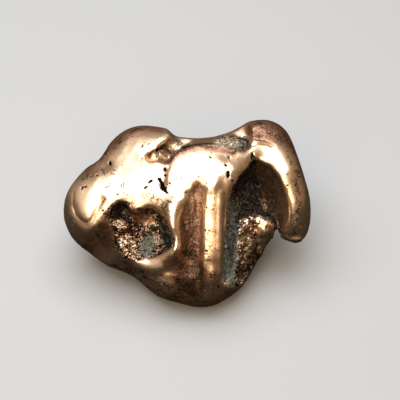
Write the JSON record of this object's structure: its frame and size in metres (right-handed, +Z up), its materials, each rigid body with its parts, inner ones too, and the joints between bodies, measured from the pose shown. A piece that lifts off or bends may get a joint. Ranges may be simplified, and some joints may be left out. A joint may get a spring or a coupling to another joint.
{
  "type": "native copper nugget",
  "caption": "Solid water-worn nugget of native copper with gritty hollows, a long flute and an arched side lobe; rests on worn flats under its belly.",
  "frame": {"origin": "middle of the bounding box, at the level that the nugget rests on", "axes": "+X across the long way, towards the arched lobe; +Y towards the back; +Z up, the short way"},
  "size_m": [0.0474, 0.0348, 0.0268],
  "materials": {
    "native_copper": "worn bare native copper, bright golden where rubbed, brown tarnish on the sides, green-black and grey-green patina in the hollows"
  },
  "bodies": {
    "root": {"nugget": "native_copper"}
  },
  "joints": []
}
